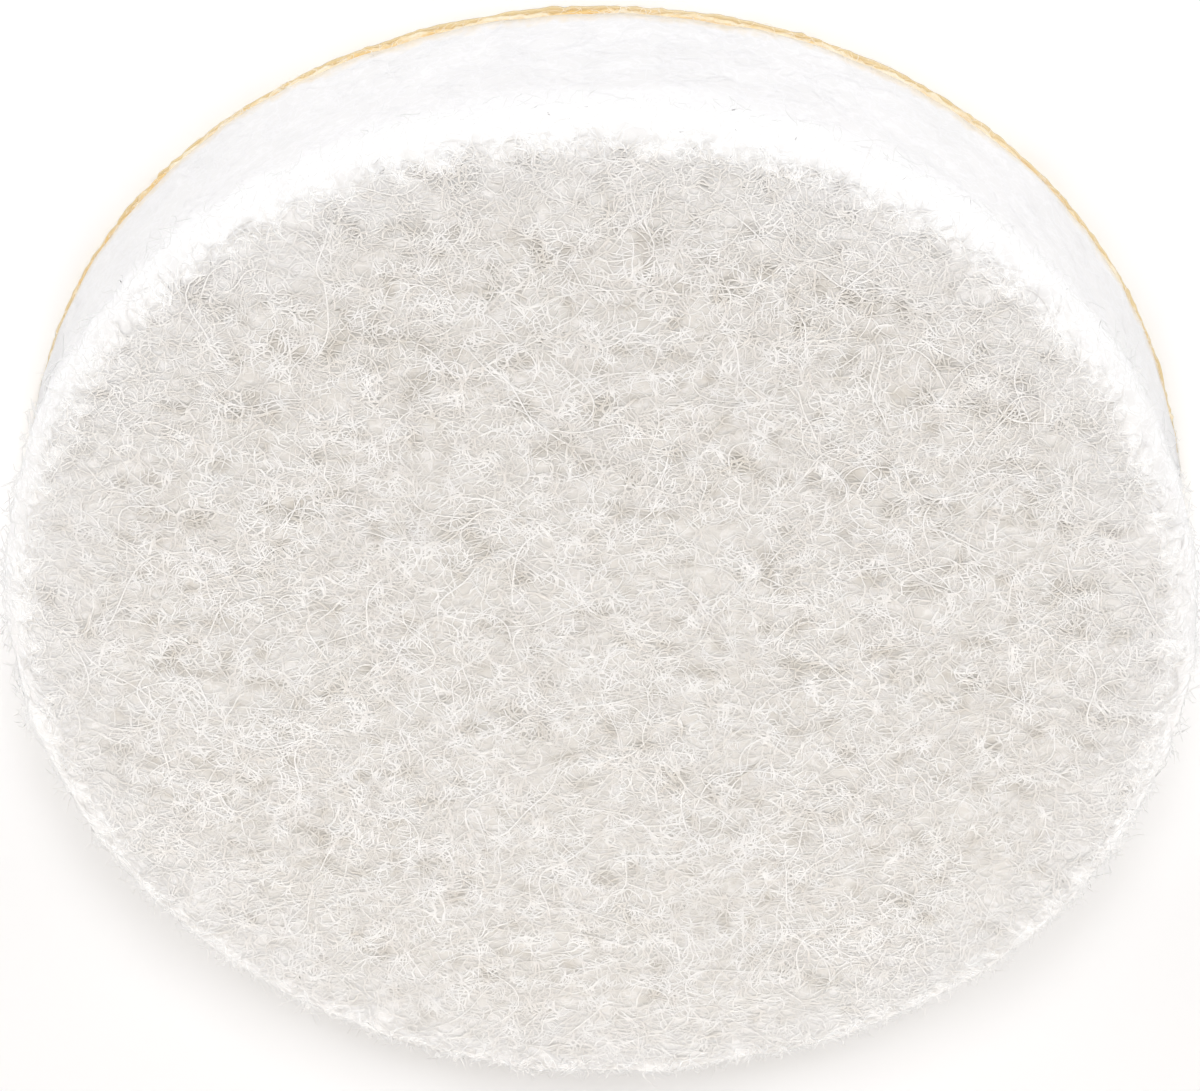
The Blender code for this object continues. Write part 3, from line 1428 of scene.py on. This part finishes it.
@dataclass(frozen=True)
class Lamp:
    """A square soft lamp that faces the pad.

    Fields:
        place_mm: where it hangs, in millimetres.
        size_mm: length of its side.
        watts: its power.
        tint: colour of its light.
    """

    name: str
    place_mm: tuple[float, float, float]
    size_mm: float
    watts: float
    tint: Tint

    def hang(self) -> None:
        """Put the lamp in the scene, where the camera doesn't see it."""
        light = bpy.data.lights.new(self.name, "AREA")
        light.shape = "SQUARE"
        light.size = self.size_mm * MM
        light.energy = self.watts
        light.color = linear(self.tint.value)[:3]
        lamp = bpy.data.objects.new(self.name, light)
        lamp.location = Vector(self.place_mm) * MM
        lamp.visible_camera = False
        lamp.rotation_euler = (-lamp.location).to_track_quat("-Z", "Y").to_euler()
        bpy.context.scene.collection.objects.link(lamp)


@dataclass(frozen=True)
class Studio:
    """Floor, room, lamps and camera round the pad.

    Fields:
        tilt: angle between the view and the pad's axis, in degrees.
        roll: turn of the camera about its own axis, in degrees. The near wall shows at the top
            of the picture.
        distance: from the camera to the middle of the felt's face.
        pixels_per_radius: size of the pad's radius at the middle of the face.
        centre_px: where the middle of the face lies in the picture.
        picture_px: width and height of the picture.
        sensor_mm, clip_start: the camera's sensor width and nearest visible distance.
        floor_glow: light that the camera sees added to the floor, on its side of the pad and
            beyond it.
        glow_reach: distance from the middle at which each of these is reached.
        far_floor: distances over which the floor's glow rises to full white.
        room_light: strength of the light that comes from all round.
    """

    tilt: float = 36.3
    roll: float = 182.66
    distance: float = 83.0 * MM
    pixels_per_radius: float = 597.0
    centre_px: tuple[float, float] = (600.0, 644.5)
    picture_px: tuple[float, float] = (1200.0, 1091.0)
    sensor_mm: float = 36.0
    clip_start: float = 1 * MM
    floor_size: float = 1.2
    floor_white: str = "#EAEAEA"
    floor_roughness: float = 0.7
    floor_specular: float = 0.2
    floor_glow: tuple[float, float] = (0.22, 0.045)
    glow_reach: float = 14 * MM
    far_floor: tuple[float, float] = (30 * MM, 150 * MM)
    room_light: float = 0.18
    lamps: tuple[Lamp, ...] = (
        Lamp("left_lamp", (-247, -1163, 1071), 320, 10.0, Tint.COOL),
        Lamp("right_lamp", (247, -1163, 1071), 320, 8.4, Tint.COOL),
        Lamp("side_lamp_east", (280, 0, 102), 120, 0.16, Tint.PLAIN),
        Lamp("side_lamp_west", (-280, 0, 102), 120, 0.16, Tint.PLAIN),
        Lamp("top_lamp", (0, 50, 150), 80, 0.056, Tint.PLAIN),
        Lamp("back_lamp", (0, 240, 120), 120, 0.27, Tint.WARM),
    )

    def add_floor(self) -> None:
        """Lay the pale floor, which the camera sees as white apart from the shadow.

        The glow is the larger of one that changes along Y and one that rises far from the pad.
        """
        material = bpy.data.materials.new("white_table")
        material.use_nodes = True
        tree = material.node_tree
        shader = tree.nodes["Principled BSDF"]
        shader.inputs["Base Color"].default_value = linear(self.floor_white)
        shader.inputs["Roughness"].default_value = self.floor_roughness
        shader.inputs["Specular IOR Level"].default_value = self.floor_specular
        path = add_node(tree, "ShaderNodeLightPath")
        seen = add_node(
            tree,
            "ShaderNodeMath",
            {0: path.outputs["Is Camera Ray"], 1: path.outputs["Is Glossy Ray"]},
            operation="MAXIMUM",
        )
        seen = add_node(
            tree,
            "ShaderNodeMath",
            {0: seen.outputs[0], 1: path.outputs["Is Transmission Ray"]},
            operation="MAXIMUM",
        )
        place = add_node(tree, "ShaderNodeTexCoord").outputs["Object"]
        along = add_node(tree, "ShaderNodeSeparateXYZ", {"Vector": place}).outputs["Y"]
        first_glow, last_glow = self.floor_glow
        fading = add_node(
            tree,
            "ShaderNodeMapRange",
            {"Value": along, "From Min": -self.glow_reach, "From Max": self.glow_reach,
             "To Min": first_glow, "To Max": last_glow},
            interpolation_type="SMOOTHSTEP",
        )
        away = add_node(tree, "ShaderNodeVectorMath", {0: place}, operation="LENGTH")
        distant = add_node(
            tree,
            "ShaderNodeMapRange",
            {"Value": away.outputs["Value"], "From Min": self.far_floor[0],
             "From Max": self.far_floor[1]},
            interpolation_type="SMOOTHSTEP",
        )
        strongest = add_node(
            tree,
            "ShaderNodeMath",
            {0: fading.outputs["Result"], 1: distant.outputs["Result"]},
            operation="MAXIMUM",
        )
        share = add_node(
            tree, "ShaderNodeMath", {0: seen.outputs[0], 1: strongest.outputs[0]},
            operation="MULTIPLY",
        )
        glow = add_node(
            tree, "ShaderNodeEmission", {"Color": (1, 1, 1, 1), "Strength": share.outputs[0]}
        )
        mixed = add_node(tree, "ShaderNodeAddShader", {0: shader.outputs[0], 1: glow.outputs[0]})
        tree.links.new(mixed.outputs[0], tree.nodes["Material Output"].inputs["Surface"])
        half = self.floor_size / 2
        corners = np.array([[-half, -half, 0], [half, -half, 0], [half, half, 0], [-half, half, 0]])
        floor = Surface(corners, [np.array([[0, 1, 2, 3]])]).to_object("table_top", material)

    def add_world(self) -> None:
        """Light the pad evenly from all round with a warm room, which the camera sees as white."""
        world = bpy.data.worlds.new("white_room")
        bpy.context.scene.world = world
        world.use_nodes = True
        tree = world.node_tree
        path = add_node(tree, "ShaderNodeLightPath")
        strength = add_node(
            tree,
            "ShaderNodeMapRange",
            {"Value": path.outputs["Is Camera Ray"], "To Min": self.room_light, "To Max": 1.0},
        )
        colour = add_node(
            tree,
            "ShaderNodeMix",
            {"Factor": path.outputs["Is Camera Ray"], "A": linear(Tint.WARM.value),
             "B": linear(Tint.PLAIN.value)},
            data_type="RGBA",
        )
        background = tree.nodes["Background"]
        tree.links.new(strength.outputs["Result"], background.inputs["Strength"])
        tree.links.new(colour.outputs["Result"], background.inputs["Color"])

    def add_camera(self, face_height: float, radius: float) -> None:
        """Set the camera, turned so that the wall nearest to it is at the top.

        The lens gives the pad its size at the middle of the face, and the camera is aimed past
        that middle so that it falls on its pixel.

        Args:
            face_height: height of the felt's face.
            radius: the pad's radius.
        """
        lens_data = bpy.data.cameras.new("photo_camera")
        half_width = radius * self.picture_px[0] / 2 / self.pixels_per_radius
        lens_data.sensor_width = self.sensor_mm
        lens_data.lens = lens_data.sensor_width / 2 * self.distance / half_width
        lens_data.clip_start = self.clip_start
        tilt = math.radians(self.tilt)
        middle = Vector((0, 0, face_height))
        back = Vector((0, -math.sin(tilt), math.cos(tilt)))
        spot = middle + back * self.distance
        upright = Vector((0, math.cos(tilt), math.sin(tilt)))
        level = Vector((1, 0, 0))
        roll = math.radians(self.roll)
        right = level * math.cos(roll) + upright * math.sin(roll)
        up = upright * math.cos(roll) - level * math.sin(roll)
        per_px = radius / self.pixels_per_radius
        off_right = (self.centre_px[0] - self.picture_px[0] / 2) * per_px
        off_up = (self.picture_px[1] / 2 - self.centre_px[1]) * per_px
        target = middle - right * off_right - up * off_up
        forward = (target - spot).normalized()
        right = forward.cross(up).normalized()
        up = right.cross(forward)
        turn = Matrix((right, up, -forward)).transposed().to_4x4()
        camera = bpy.data.objects.new("photo_camera", lens_data)
        camera.matrix_world = Matrix.Translation(spot) @ turn
        bpy.context.scene.collection.objects.link(camera)
        bpy.context.scene.camera = camera


def main() -> None:
    """Build the pad and its studio, and report each piece."""
    logging.basicConfig(level=logging.INFO, format="%(name)s: %(message)s")
    bpy.context.scene.view_settings.view_transform = "Standard"
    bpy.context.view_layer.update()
    pad = FeltPad()
    pad.build_paper()
    pad.build_adhesive()
    pad.build_felt()
    pad.build_fibres()
    studio = Studio()
    studio.add_floor()
    studio.add_world()
    for lamp in studio.lamps:
        lamp.hang()
    studio.add_camera(pad.skin.high, pad.radius)


if __name__ == "__main__":
    main()
